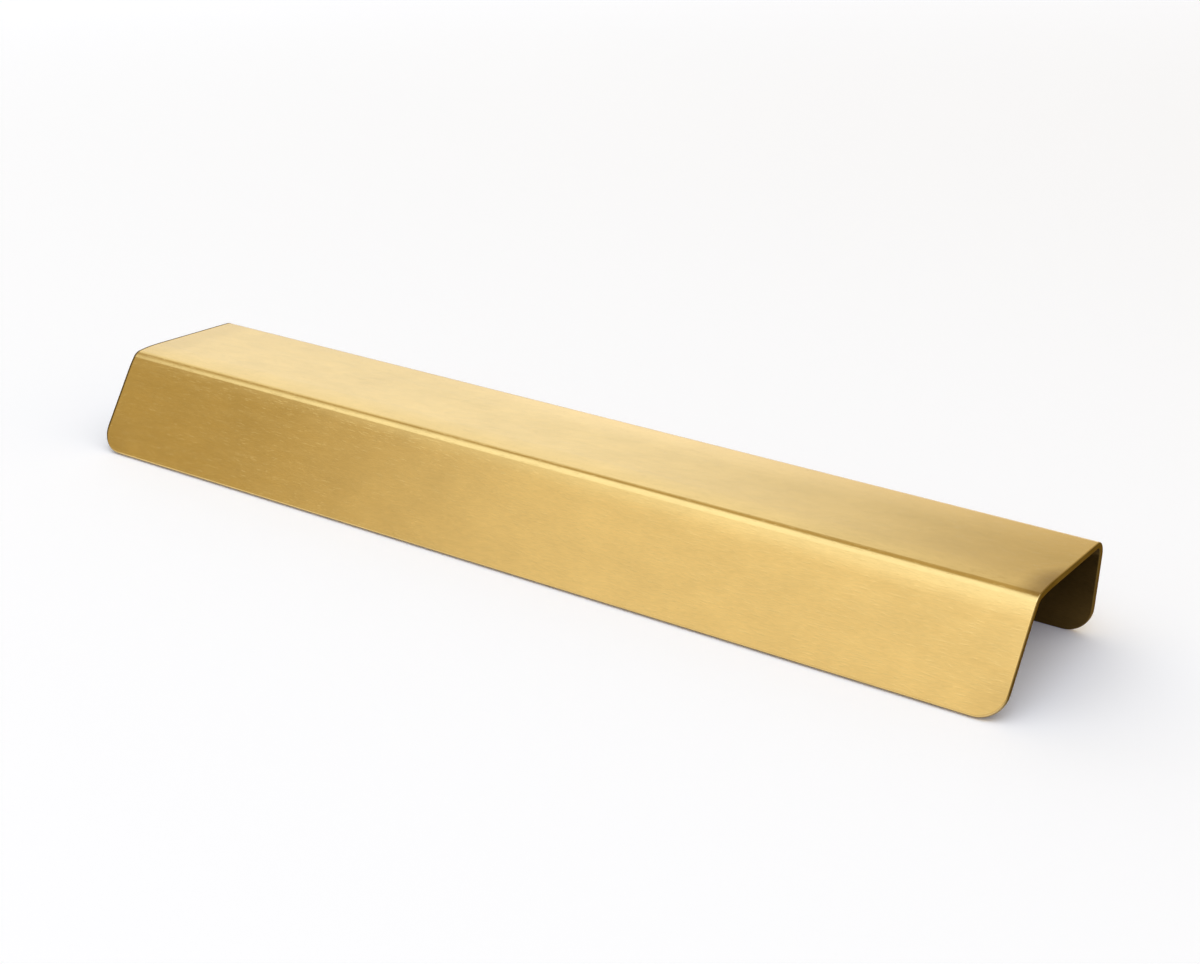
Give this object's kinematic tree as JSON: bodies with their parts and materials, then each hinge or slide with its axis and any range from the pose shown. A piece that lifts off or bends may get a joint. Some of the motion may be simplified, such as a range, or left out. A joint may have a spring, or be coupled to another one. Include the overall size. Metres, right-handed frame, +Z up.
{
  "type": "profile handle",
  "caption": "Pull for a drawer or door front, folded from brass sheet: a back flange with screw holes, a top over the front's edge, and a slanted lip for the fingers.",
  "frame": {"origin": "midway between the screw holes, on the back flange's inner face, which seats against the back of the drawer or door front", "axes": "+X along the handle, -Y from the back flange towards the lip, +Z up, away from the flanges' free edges"},
  "size_m": [0.2, 0.0414, 0.0194],
  "materials": {
    "brushed_brass": "satin, brushed along the handle"
  },
  "bodies": {
    "root": {"profile_handle": "brushed_brass"}
  },
  "joints": []
}
